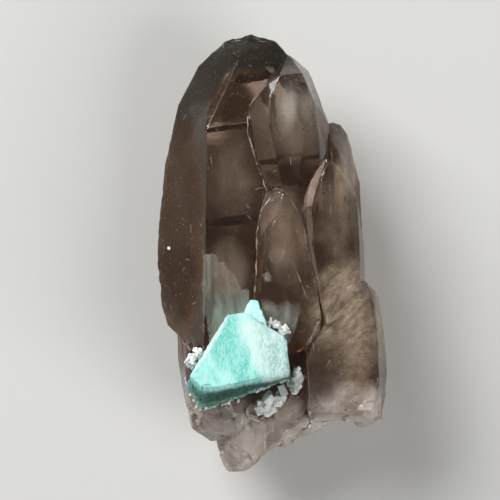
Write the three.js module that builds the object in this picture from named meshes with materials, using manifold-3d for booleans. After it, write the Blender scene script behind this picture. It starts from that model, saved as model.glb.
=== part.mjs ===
// Smoky quartz crystal group carrying one amazonite crystal and a few albite lumps.
// It lies on its back: +Z is the front of the specimen, +Y runs towards the crystal tip,
// +X is to the right. The origin is under the middle of the box, on the surface it rests on.
// All sizes are millimetres.
import * as THREE from 'three';
import { ConvexGeometry } from 'three/addons/geometries/ConvexGeometry.js';
import { mergeVertices } from 'three/addons/utils/BufferGeometryUtils.js';
import Module from 'manifold-3d';

const wasm = await Module();
wasm.setup();

// Heights above the resting face that drive the relief of the front.
const PLATE = 16.6;
const STEP = 1.2;
const RIDGE = PLATE + STEP;
const CENTRE_RIDGE = RIDGE + 0.4;
const TALL_RIDGE = RIDGE + 0.9;
const SHOULDER = PLATE + 0.6;
const AMAZONITE_FACE = 20.6;

// Heights of the widest outline of each crystal and of its back faces.
const GIRDLE = 9;
const TIP_GIRDLE = 12;
const BACK = 3.2;
const FLOOR = 0;

// Growth steps on the back: the height of each, its two sides, and where it ends towards the
// tip on the left and on the right.
const LEDGES = [
  { rise: 0.9, left: -9.2, right: -1.4, ends: [14.3, 15.4] },
  { rise: 2, left: -7.4, right: -0.6, ends: [18.9, 19.6] },
  { rise: 1.3, left: -2.4, right: 4.4, ends: [7.6, 8.6] },
  { rise: 2.3, left: -2, right: 3.6, ends: [10.8, 11.5] },
];
const LEDGE_SPREAD = 1.1;

// Smaller features.
const GAP = 0.3;
const SOCKET_FLOOR = 13.2;
const SUNK = -0.8;

// Points of an outline, all at one height.
function at(height, outline) {
  return outline.map(([x, y]) => new THREE.Vector3(x, y, height));
}

// Turns a three.js geometry into a closed solid.
function toSolid(geometry) {
  const bare = geometry.clone();
  bare.deleteAttribute('normal');
  bare.deleteAttribute('uv');
  const merged = mergeVertices(bare, 1e-5);
  return new wasm.Manifold(new wasm.Mesh({
    numProp: 3,
    vertProperties: new Float32Array(merged.attributes.position.array),
    triVerts: new Uint32Array(merged.index.array),
  }));
}

// Turns a closed solid back into a flat-shaded three.js geometry.
function toGeometry(solid) {
  const mesh = solid.getMesh();
  const geometry = new THREE.BufferGeometry();
  geometry.setAttribute('position', new THREE.BufferAttribute(new Float32Array(mesh.vertProperties), 3));
  geometry.setIndex(new THREE.BufferAttribute(new Uint32Array(mesh.triVerts), 1));
  geometry.computeVertexNormals();
  return geometry;
}

// The flat-faced crystal that spans a set of corners.
function crystal(...corners) {
  return toSolid(new ConvexGeometry(corners.flat()));
}

// Joins solids that grew into each other.
function join(solids) {
  return solids.reduce((whole, piece) => whole.add(piece));
}

// A copy of a solid grown by a clearance on every side, about its own middle.
function grown(solid, clearance) {
  const box = solid.boundingBox();
  const middle = box.min.map((low, axis) => (low + box.max[axis]) / 2);
  const factors = box.min.map((low, axis) => 1 + (2 * clearance) / (box.max[axis] - low));
  return solid
    .translate(middle.map((value) => -value))
    .scale(factors)
    .translate(middle);
}

// The tallest crystal, on the left, with its tip at the top and a flat front plate.
function mainCrystal() {
  const plate = at(PLATE, [[-7.6, 14.6], [-3, 15.3], [2.5, 15], [2.5, -15], [-6.6, -13.4], [-7.9, -12.4], [-7.8, 0.5]]);
  const crown = [
    ...at(PLATE - 0.9, [[-7.6, 16.6]]),
    ...at(PLATE - 1.5, [[-4, 22.4], [-2.4, 22.4], [-1.1, 21.4], [-0.2, 21.1]]),
  ];
  const tip = at(TIP_GIRDLE, [[-5.5, 24.8], [-3.9, 25.4], [-2.5, 25.9], [0.1, 24.9], [1.9, 23.5], [3.4, 22]]);
  const leftShoulder = at(GIRDLE + 2, [[-8.7, 22.2], [-11.1, 17.6]]);
  const leftSide = at(GIRDLE, [[-12.7, 10.6], [-13.55, 2.3], [-13.65, -1.1], [-13.1, -6.1], [-12.4, -8.4], [-11.4, -9.4]]);
  const back = at(BACK, [[-9.6, 14.4], [-10.2, 2], [-10, -6], [-8.6, -12], [2.5, -15], [4, 14], [0.9, 19.8], [-6.6, 19.4]]);
  const backTip = at(TIP_GIRDLE - 3.4, [[-7.6, 21.4], [-2.6, 23.8], [1.4, 22.2]]);
  return crystal(plate, crown, tip, leftShoulder, leftSide, back, backTip);
}

// The second crystal, right of the tip, with a narrow side face towards the main plate.
function rightTopCrystal() {
  const leftFoot = at(PLATE - 0.2, [[-0.5, 20.3], [-2.5, 17], [-2.9, 15.3], [-2.6, 12.6], [-1.75, 10.2], [-0.6, 7.2], [1, 2.6]]);
  const ridge = [
    ...at(RIDGE - 0.8, [[-0.6, 19.8]]),
    ...at(RIDGE, [[-0.3, 18.2], [-0.5, 15.2], [0.7, 10.2], [1.6, 6], [2.4, 2.6]]),
  ];
  const topEdge = at(RIDGE - 0.4, [[0.8, 20.7], [3.4, 20.9], [4.1, 19.3]]);
  const rightEdge = at(RIDGE - 1.3, [[4.8, 17.7], [5.3, 14], [5.7, 9], [5.6, 2.6]]);
  const girdle = at(TIP_GIRDLE, [[1.9, 23.5], [3.1, 22.4], [4.3, 21.6], [4.9, 20.1], [5.9, 17.4], [6.6, 15.4], [7.6, 10], [8, 5]]);
  const back = at(BACK + 0.4, [[-1, 17.4], [2.4, 15.6], [3.8, 11], [4.6, 3], [-1, 3]]);
  return crystal(leftFoot, ridge, topEdge, rightEdge, girdle, back);
}

// The small crystal that stands behind, on the right, below the notch in the outline.
function rightBackCrystal() {
  const outline = at(GIRDLE + 0.6, [[6.4, 15.4], [7.3, 15.6], [8.1, 15.3], [8.9, 14.2], [9.5, 12.2], [10.4, 8.7], [10.7, 3], [11, -3.2]]);
  const front = at(GIRDLE + 4.6, [[6.7, 13.4], [7.9, 11.4], [8.9, 6], [9.2, -3]]);
  const back = at(BACK + 1.4, [[5, 10.4], [6.8, 8.4], [7.8, 2], [7.8, -4], [4, -4]]);
  return crystal(outline, front, back);
}

// The front crystal on the right, with a sharp tip and a rounded right flank.
function rightFrontCrystal() {
  const leftFoot = at(PLATE - 0.2, [[5.6, 10.4], [4.4, 9.2], [3.9, 7.6], [3.4, 4.3], [3.6, 0.9], [4, -1], [4.7, -3.1]]);
  const tip = at(RIDGE - 0.1, [[6.3, 11.2]]);
  const ridge = at(TALL_RIDGE, [[5.7, 9.2], [4.6, 5.4], [4.7, 0.5], [5.4, -3.2], [6.3, -8]]);
  const flankHigh = at(RIDGE - 0.2, [[7.7, 10.1], [8.5, 9.1]]);
  const flankLow = at(RIDGE - 1.8, [[9.2, 7.9], [9.8, 6.3], [10.1, 1], [10.2, -6]]);
  const side = at(GIRDLE + 2, [[10.3, 4.6], [10.8, 1], [11, -4]]);
  const root = at(BACK + 2, [[4, 8], [8.5, 4], [8.6, -8], [3, -8]]);
  return crystal(leftFoot, tip, ridge, flankHigh, flankLow, side, root);
}

// The slim crystal at the centre of the front, above the amazonite.
function centreCrystal() {
  const leftFoot = at(PLATE - 0.1, [[0.2, 7.1], [-1.2, 5.3], [-1.85, 2.4], [-2.6, -5.2], [-3.2, -9]]);
  const tip = at(CENTRE_RIDGE, [[1.3, 7.2]]);
  const ridge = at(CENTRE_RIDGE, [[0.6, 5.1], [-0.7, 0.9], [-1.6, -5.2], [-2, -9]]);
  const rightEdge = at(CENTRE_RIDGE, [[2.3, 6.2], [3.4, 4.3], [3.9, 0.9], [5, -3.1], [5.6, -7.4]]);
  const foot = at(RIDGE - 0.5, [[5.4, -8.9], [4.3, -10.4], [3.5, -10.1], [2.8, -10.5], [1.4, -11.8]]);
  const root = at(SOCKET_FLOOR - 4, [[0, 5], [4, 3], [5.5, -9], [-3, -10]]);
  return crystal(leftFoot, tip, ridge, rightEdge, foot, root);
}

// The broad, dull, broken crystal at the lower right, with a stepped upper-left edge.
function lowerRightCrystal() {
  const frontEdge = at(SHOULDER, [[9.1, -3.4], [8.2, -4.9], [7.3, -6.2], [5.6, -8.6], [4.6, -10.6], [4, -12.4], [4.2, -15.2], [4.3, -18.4]]);
  const rightEdge = at(SHOULDER - 0.6, [[11.6, -5.4], [12.2, -10], [12.3, -15], [11.4, -18.2]]);
  const shoulder = at(SHOULDER - 2.2, [[10.8, -3.1], [11.9, -4.3]]);
  const girdle = at(GIRDLE, [[12.7, -5.2], [13.3, -9.6], [13.65, -13.8], [13.4, -17.4], [13.1, -19.4]]);
  const bottom = at(GIRDLE + 3, [[4.4, -20.4], [11.8, -19.6]]);
  const lowFlank = at(GIRDLE - 5.4, [[11.8, -7], [12.3, -16], [11.6, -18.2], [4.4, -19.6]]);
  const back = at(SUNK, [[7.4, -4.4], [9.2, -7.4], [9.6, -15.4], [3, -17.6], [3, -4]]);
  return crystal(frontEdge, rightEdge, shoulder, girdle, bottom, lowFlank, back);
}

// The dark hollow between the amazonite and the lower right crystal.
function recess() {
  const mouth = at(PLATE, [[1.8, -11.6], [2.8, -10], [4.6, -10], [4.4, -14.9], [1.9, -14.9]]);
  const floor = at(PLATE - 3, [[2.3, -12], [3.9, -11], [3.9, -14.2], [2.3, -14.4]]);
  return crystal(mouth, floor);
}

// The set-back lower left of the group, below the curved step, down to the broken end.
function lowerLeftBlock() {
  const front = at(PLATE - 1.5, [[-8.9, -10.8], [-8.6, -15], [-7.8, -17.6], [-3.2, -18.8], [4.6, -17.2], [5, -9]]);
  const lower = at(PLATE - 3.2, [[-8.6, -19.4], [-6.6, -20.9], [-3.6, -21.2], [2.8, -19.7]]);
  const flank = at(PLATE - 4.2, [[-10.3, -10.4], [-10.2, -14], [-9.6, -18]]);
  const outline = at(GIRDLE - 1.4, [[-11.3, -9.5], [-11.2, -12.7], [-10.5, -17.2], [-9.8, -19.8], [-9.6, -21.1], [-7.4, -22.5]]);
  const back = at(SUNK, [[-8.8, -7], [-7.6, -15.4], [-5.6, -18], [3, -18.4], [5, -7]]);
  return crystal(front, lower, flank, outline, back).subtract(recess());
}

// The splintered tongue at the very bottom of the specimen, with a pale wedge standing on it.
function bottomTongue() {
  const front = at(GIRDLE + 2.4, [[-5.4, -20.8], [-1.2, -20.2], [-3, -22.6]]);
  const edge = at(GIRDLE - 0.6, [[-6.7, -22.6], [-6.3, -24], [-5.8, -25.1], [-5, -25.9], [-3.9, -25.8], [-3, -25.5], [-1.2, -24.2], [0.7, -22.9]]);
  const back = at(BACK + 0.6, [[-6, -19.6], [-4.6, -22.6], [-0.4, -20.8], [1, -18.8]]);
  const wedge = crystal(
    at(PLATE - 1.7, [[-4.5, -19.2], [-0.9, -18.8]]),
    at(GIRDLE + 2.9, [[-5.1, -22.1], [-3.4, -23.8], [-0.6, -22.6]]),
    at(GIRDLE + 1.4, [[-2.5, -24.8], [-1.2, -24]]),
    at(GIRDLE - 1, [[-4.4, -20], [-3.2, -23], [-1, -22]]),
  );
  return crystal(front, edge, back).add(wedge);
}

// The broken lumps along the bottom edge, right of the tongue.
function bottomLumps() {
  const middle = crystal(
    at(GIRDLE + 4.4, [[-0.6, -18.6], [4.4, -18.8], [3.2, -19.9]]),
    at(GIRDLE + 0.6, [[-1.2, -23.8], [0.7, -22.9], [2.1, -22], [2.7, -21.4], [4.6, -21.2], [5.6, -21.3], [6.4, -20.9], [7, -19.6]]),
    at(BACK, [[-1, -20], [1, -20.8], [5.6, -19.4], [6, -17]]),
  );
  const right = crystal(
    at(GIRDLE + 4.6, [[8.4, -17.6], [12.1, -17.2], [10.8, -18.8]]),
    at(GIRDLE + 0.2, [[9.4, -19.7], [10, -20.5], [10.7, -20.6], [12, -20.2], [13.05, -19.6], [13.5, -16.4]]),
    at(BACK + 1, [[8.6, -17], [10.2, -18.6], [12, -17.6]]),
  );
  const bridge = crystal(
    at(GIRDLE + 4, [[5.4, -18], [9.6, -18.2]]),
    at(GIRDLE, [[6.2, -19.7], [7.4, -19.4], [9.6, -19.8], [10.4, -17]]),
    at(BACK + 1, [[5.6, -17], [7.4, -18], [9.8, -17.4]]),
  );
  return join([middle, right, bridge]);
}

// Sharp little wedges that break up the bottom edge: place, width, length, thickness and turn.
const SPLINTERS = [
  { place: [-7.8, -20.3, 10.2], size: [2.4, 2.2, 4.6], turn: 25 },
  { place: [-5.8, -22, 8.8], size: [1.5, 2.2, 3.4], turn: -20 },
  { place: [0.9, -21.4, 9.8], size: [2.2, 2.8, 4], turn: 35 },
  { place: [3.4, -20.2, 10.6], size: [2.6, 2.2, 4.4], turn: -15 },
  { place: [5.9, -20, 9.4], size: [1.8, 1.8, 3.6], turn: 20 },
  { place: [9.2, -19.1, 10.8], size: [2.6, 1.7, 4.2], turn: -30 },
  { place: [11.6, -19, 9.8], size: [2.4, 2, 4], turn: 15 },
];

// One wedge with a slanted flat top and a ragged front edge.
function splinter({ place: [x, y, z], size: [width, length, thickness], turn }) {
  const corners = [
    [-0.5, 0.5, 0.35], [0.4, 0.5, 0.5], [0.5, -0.1, 0.3], [0.1, -0.5, 0.02], [-0.35, -0.38, 0.1],
    [-0.5, 0.4, -0.5], [0.5, 0.4, -0.4], [0.2, -0.3, -0.3],
  ];
  const angle = THREE.MathUtils.degToRad(turn);
  return crystal(corners.map(([u, v, w]) => new THREE.Vector3(u * width, v * length, w * thickness)
    .applyAxisAngle(new THREE.Vector3(0, 0, 1), angle)
    .add(new THREE.Vector3(x, y, z))));
}

// The flat back of the group, in low growth steps; the lowest one is the resting face.
function backLedges() {
  const lowest = crystal(
    at(SUNK, [[-8.8, 3.2], [-8.6, -12], [6.4, -12], [7, 4.8]]),
    at(BACK + 1, [[-10.4, 3.6], [-10.2, -12], [8, -12], [8, 5.2]]),
  );
  const steps = LEDGES.map(({ rise, left, right, ends: [leftEnd, rightEnd] }) => crystal(
    at(rise, [[left, leftEnd], [left, 0], [right, 0], [right, rightEnd]]),
    at(BACK + 1, [[left, leftEnd], [left, 0], [right, 0], [right, rightEnd]].map(([x, y], corner) => [
      x + (x === left ? -LEDGE_SPREAD : LEDGE_SPREAD),
      y + (corner % 3 === 0 ? LEDGE_SPREAD : 0),
    ])),
  ));
  return join([lowest, ...steps]);
}

// The blocky amazonite crystal, with a bright front face, a dark lower face and a small spike.
function amazoniteCrystal() {
  const face = at(AMAZONITE_FACE, [[-5.1, -7.1], [-3.2, -6.8], [-9.2, -13.8], [-8, -15], [-5.9, -14.8], [-3.1, -14.2], [-1.7, -13.8]]);
  const rightFace = at(AMAZONITE_FACE - 0.9, [[-0.6, -8.7], [1.4, -9.7], [1.8, -13.9]]);
  const lowerFace = at(AMAZONITE_FACE - 3.4, [[-10, -15.3], [-8.5, -17.8], [-7.9, -17.9], [-2.1, -15.9], [1.9, -14.4]]);
  const root = at(SOCKET_FLOOR, [[-5, -8], [0.6, -9.8], [1.2, -14], [-2, -15], [-7.4, -16.6], [-8.6, -15]]);
  const block = crystal(face, rightFace, lowerFace, root);
  const spike = crystal(
    at(AMAZONITE_FACE - 1.6, [[-2.9, -5.9], [-2.5, -5.4], [-1.8, -5.4], [-1.4, -7.6], [-0.7, -8.6], [-3.2, -6.9]]),
    at(AMAZONITE_FACE - 0.6, [[-2.8, -7], [-1.9, -7.6], [-1.6, -9]]),
    at(SOCKET_FLOOR + 1.6, [[-3.4, -8.4], [-2.4, -6.6], [-1.2, -8.8]]),
  );
  return block.add(spike);
}

// One rounded albite lump, as a faceted ball stretched to its three widths.
function lump([x, y, z], [width, length, depth]) {
  const ball = new THREE.IcosahedronGeometry(0.5, 1);
  ball.scale(width, length, depth);
  ball.translate(x, y, z);
  return toSolid(ball);
}

// Each albite cluster is a few lumps that have grown together.
const ALBITE_CLUSTERS = {
  albite_left: [[[-9.4, -12.4, 14.8], [1.7, 2.3, 3.6]], [[-8.6, -11.7, 15.6], [1.5, 1.7, 3]]],
  albite_upper: [[[0.1, -8.1, 18.2], [2, 1.4, 2.4]], [[1.3, -8.8, 18], [1.5, 1.7, 2.6]]],
  albite_right: [[[2.8, -13.7, 16.9], [1.3, 1.5, 4]], [[2.6, -15.2, 16], [1.8, 2.6, 4]]],
  albite_lower: [[[-0.4, -17.2, 15.7], [2.2, 2.3, 3]], [[-1.3, -18.1, 15], [2, 1.6, 2.4]], [[0.9, -16.5, 15.6], [1.9, 1.8, 2.6]]],
};

// Cuts the sockets for the feldspars and the flat resting face into the quartz.
function quartzGroup(feldspars) {
  const grownTogether = join([
    mainCrystal(),
    rightTopCrystal(),
    rightBackCrystal(),
    rightFrontCrystal(),
    centreCrystal(),
    lowerRightCrystal(),
    lowerLeftBlock(),
    bottomTongue(),
    bottomLumps(),
    ...SPLINTERS.map(splinter),
    backLedges(),
  ]);
  const socketed = feldspars.reduce((rock, feldspar) => rock.subtract(grown(feldspar, GAP)), grownTogether);
  return socketed.trimByPlane([0, 0, 1], FLOOR);
}

const MATERIALS = {
  quartz: new THREE.MeshStandardMaterial({ color: 0x6b5747, roughness: 0.12, metalness: 0 }),
  amazonite: new THREE.MeshStandardMaterial({ color: 0x86e0d4, roughness: 0.55, metalness: 0 }),
  albite: new THREE.MeshStandardMaterial({ color: 0xcfd6d2, roughness: 0.45, metalness: 0 }),
};

const specimen = new THREE.Group();

// Adds one solid to the specimen as a named mesh.
function place(name, solid, material) {
  const mesh = new THREE.Mesh(toGeometry(solid), material);
  mesh.name = name;
  specimen.add(mesh);
}

const amazonite = amazoniteCrystal();
const albites = Object.entries(ALBITE_CLUSTERS).map(([name, lumps]) => ({
  name,
  solid: join(lumps.map(([place_, size]) => lump(place_, size))).subtract(grown(amazonite, GAP)),
}));

place('smoky_quartz', quartzGroup([amazonite, ...albites.map(({ solid }) => solid)]), MATERIALS.quartz);
place('amazonite', amazonite, MATERIALS.amazonite);
albites.forEach(({ name, solid }) => place(name, solid, MATERIALS.albite.clone()));

export default specimen;
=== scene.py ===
"""Looks of a smoky quartz crystal group that carries an amazonite crystal and albite lumps.

The specimen lies on its back: +Z is its front, +Y runs to the crystal tip. Lengths are metres,
apart from values that say millimetres, which are multiplied by MM where they meet a mesh.
"""
import logging
import math
from dataclasses import asdict, dataclass, field, fields, replace
from enum import Enum
from typing import Callable, Sequence

import bmesh
import bpy
from bmesh.types import BMEdge, BMesh, BMVert
from bpy.types import ID, Material, Node, NodeSocket, NodeTree, Object, bpy_prop_collection
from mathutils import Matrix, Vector, noise
from mathutils.bvhtree import BVHTree


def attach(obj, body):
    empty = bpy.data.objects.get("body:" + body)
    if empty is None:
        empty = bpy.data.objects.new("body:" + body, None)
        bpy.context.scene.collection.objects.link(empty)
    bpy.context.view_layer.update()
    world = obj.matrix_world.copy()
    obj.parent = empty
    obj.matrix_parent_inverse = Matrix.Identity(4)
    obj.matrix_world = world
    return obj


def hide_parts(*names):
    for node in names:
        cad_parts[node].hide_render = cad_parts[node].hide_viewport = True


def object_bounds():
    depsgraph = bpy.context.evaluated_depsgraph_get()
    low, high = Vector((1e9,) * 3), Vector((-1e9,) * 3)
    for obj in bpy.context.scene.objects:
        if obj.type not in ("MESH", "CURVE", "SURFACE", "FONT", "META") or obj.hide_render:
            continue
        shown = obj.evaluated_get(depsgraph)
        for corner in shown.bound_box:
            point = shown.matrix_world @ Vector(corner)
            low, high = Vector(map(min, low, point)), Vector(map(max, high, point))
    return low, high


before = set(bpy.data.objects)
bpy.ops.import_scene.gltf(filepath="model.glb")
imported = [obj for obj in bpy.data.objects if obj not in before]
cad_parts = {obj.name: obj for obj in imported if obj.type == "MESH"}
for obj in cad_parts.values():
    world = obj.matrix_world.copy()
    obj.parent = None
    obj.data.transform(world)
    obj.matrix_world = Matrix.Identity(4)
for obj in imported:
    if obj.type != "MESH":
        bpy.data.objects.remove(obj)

Colour = tuple[float, float, float, float]
Pair = tuple[float, float]
Outline = tuple[Pair, ...]

CAD_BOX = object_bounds()
LOG = logging.getLogger("specimen")
MM = 0.001
BODY = "root"
WHITE = (1.0, 1.0, 1.0, 1.0)
ABOVE = 0.05
DOWN = Vector((0, 0, -1))


class Slot(Enum):
    """The record's material slots."""

    QUARTZ = "quartz"
    AMAZONITE = "amazonite"
    ALBITE = "albite"


def add_node(tree: NodeTree, kind: str, settings: dict, sockets: dict) -> Node:
    """Adds a node to a tree: its settings first, then its sockets.

    Args:
        tree: the tree.
        kind: the node's type.
        settings: attributes by name.
        sockets: input names or numbers, with a value, an output, a signal, or None for nothing.

    Returns:
        The node.
    """
    made = tree.nodes.new(kind)
    for key, value in settings.items():
        setattr(made, key, value)
    for key, value in sockets.items():
        value = getattr(value, "socket", value)
        if isinstance(value, NodeSocket):
            tree.links.new(value, made.inputs[key])
        elif value is not None:
            made.inputs[key].default_value = value
    return made


class Signal:
    """A shader socket that carries a number, with arithmetic that adds Math nodes."""

    def __init__(self, shader: "Shader", socket: NodeSocket) -> None:
        """Wraps an output socket of the shader's tree."""
        self.shader = shader
        self.socket = socket

    def _math(self, operation: str, *values: object, clamp: bool = False) -> "Signal":
        """Adds one Math node that reads the values, held between 0 and 1 on request."""
        settings = {"operation": operation, "use_clamp": clamp}
        return self.shader.node("ShaderNodeMath", settings, dict(enumerate(values)))

    def __add__(self, other: object) -> "Signal":
        """The sum."""
        return self._math("ADD", self, other)

    def __sub__(self, other: object) -> "Signal":
        """The difference."""
        return self._math("SUBTRACT", self, other)

    def __rsub__(self, other: object) -> "Signal":
        """The difference, with a number on the left."""
        return self._math("SUBTRACT", other, self)

    def __mul__(self, other: object) -> "Signal":
        """The product."""
        return self._math("MULTIPLY", self, other)

    __radd__ = __add__
    __rmul__ = __mul__

    def unit(self) -> "Signal":
        """The value held between 0 and 1."""
        return self._math("ADD", self, 0.0, clamp=True)

    def smooth(self, low: float, high: float) -> "Signal":
        """A soft step.

        Args:
            low: the value where the result is 0.
            high: the value where the result is 1.

        Returns:
            A value from 0 to 1.
        """
        settings = {"interpolation_type": "SMOOTHSTEP"}
        sockets = {"Value": self, "From Min": low, "From Max": high, "To Min": 0.0, "To Max": 1.0}
        if low > high:
            sockets.update({"From Min": high, "From Max": low, "To Min": 1.0, "To Max": 0.0})
        return self.shader.node("ShaderNodeMapRange", settings, sockets, "Result")


class Shader:
    """Builds one material's node tree."""

    def __init__(self, name: str) -> None:
        """Makes an empty material."""
        self.material = bpy.data.materials.new(name)
        self.material.use_nodes = True
        self.tree = self.material.node_tree
        self.tree.nodes.clear()

    def node(self, kind: str, settings: dict | None = None, sockets: dict | None = None,
             output: str | int = 0) -> Signal:
        """Adds a node by its type, settings and sockets, and gives the output of a name or number."""
        return Signal(self, add_node(self.tree, kind, settings or {}, sockets or {}).outputs[output])

    def coordinates(self) -> Signal:
        """Object coordinates."""
        return self.node("ShaderNodeTexCoord", output="Object")

    def vector(self, operation: str, sockets: dict) -> Signal:
        """Adds one Vector Math node."""
        return self.node("ShaderNodeVectorMath", {"operation": operation}, sockets)

    def mapped(self, scale: Sequence[float], turn: float, kind: str = "POINT") -> Signal:
        """Object coordinates, scaled and then turned about Z; the kind TEXTURE turns first, and divides."""
        sockets = {"Vector": self.coordinates(), "Rotation": (0.0, 0.0, turn), "Scale": scale}
        return self.node("ShaderNodeMapping", {"vector_type": kind}, sockets)

    def jittered(self, scale: float, reach: float) -> Signal:
        """Object coordinates, shifted by noise of so many patches in a metre, by a reach in metres."""
        blur = self.node("ShaderNodeTexNoise", None, {"Vector": self.coordinates(), "Scale": scale}, "Color")
        shift = self.vector("SCALE", {0: blur, "Scale": reach})
        return self.vector("ADD", {0: self.coordinates(), 1: shift})

    def cells(self, scale: float, feature: str, output: str, where: Signal) -> Signal:
        """A pattern of irregular cells: one output of a Voronoi feature, in cells to a metre."""
        return self.node("ShaderNodeTexVoronoi", {"feature": feature}, {"Vector": where, "Scale": scale}, output)

    def axes(self) -> tuple[Signal, ...]:
        """The place on the piece along X, Y and Z, in millimetres."""
        scaled = self.vector("SCALE", {0: self.coordinates(), "Scale": 1.0 / MM})
        split = self.node("ShaderNodeSeparateXYZ", None, {0: scaled})
        return tuple(Signal(self, out) for out in split.socket.node.outputs)

    def clouds(self, scale: float, detail: float = 3.0, rough: float = 0.55, warp: float = 0.0,
               where: Signal | None = None) -> Signal:
        """Soft noise, about 0.3 to 0.7: patches in a metre, octaves, their roughness, distortion, coordinates."""
        sockets = {"Vector": where or self.coordinates(), "Scale": scale, "Detail": detail,
                   "Roughness": rough, "Distortion": warp}
        return self.node("ShaderNodeTexNoise", None, sockets, "Fac")

    def blend(self, factor: object, first: object, second: object, mode: str = "MIX") -> Signal:
        """A mix of two colours or signals by the share of the second, in a blend mode."""
        settings = {"data_type": "RGBA", "blend_type": mode}
        return self.node("ShaderNodeMix", settings, {0: factor, 6: first, 7: second}, 2)

    def bump(self, height: Signal, strength: float, distance: float, below: Signal | None = None) -> Signal:
        """The normal of a height pattern: how much shows, metres for a value of 1, another normal."""
        sockets = {"Height": height, "Strength": strength, "Distance": distance, "Normal": below}
        return self.node("ShaderNodeBump", None, sockets)

    def glossy(self, **sockets: object) -> Signal:
        """A Principled shader, with its sockets named with _ for a space."""
        return self.node("ShaderNodeBsdfPrincipled", None, {k.replace("_", " "): v for k, v in sockets.items()})

    def mix(self, share: Signal, first: Signal, second: Signal) -> Signal:
        """A mix of two shaders by the share of the second."""
        return self.node("ShaderNodeMixShader", None, {0: share, 1: first, 2: second})

    def sheer(self, share: Signal, shader: Signal) -> Signal:
        """A shader that shows by its share, and is clear elsewhere."""
        return self.mix(share.unit(), self.node("ShaderNodeBsdfTransparent"), shader)

    def output(self, surface: Signal, volume: Signal | None = None) -> Material:
        """Ends the tree with its surface and volume shaders, and gives the finished material."""
        add_node(self.tree, "ShaderNodeOutputMaterial", {}, {"Surface": surface, "Volume": volume})
        return self.material


@dataclass(frozen=True)
class Zone:
    """An oval area of the front with its own tone; lengths in millimetres, turn in radians."""

    x: float
    y: float
    half_width: float
    half_height: float
    turn: float
    strength: float
    soft: float = 0.9

    def signal(self, x: Signal, y: Signal, wobble: Signal) -> Signal:
        """How much the area shows: 0 outside, the strength in its middle.

        Args:
            x: place along X.
            y: place along Y.
            wobble: a pattern that makes the outline irregular.

        Returns:
            The amount.
        """
        east, north = x - self.x, y - self.y
        cos, sin = math.cos(self.turn), math.sin(self.turn)
        along = east * (cos / self.half_width) + north * (sin / self.half_width)
        across = north * (cos / self.half_height) - east * (sin / self.half_height)
        reach = along * along + across * across + wobble
        return reach.smooth(1.0, 1.0 - self.soft) * self.strength


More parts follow.
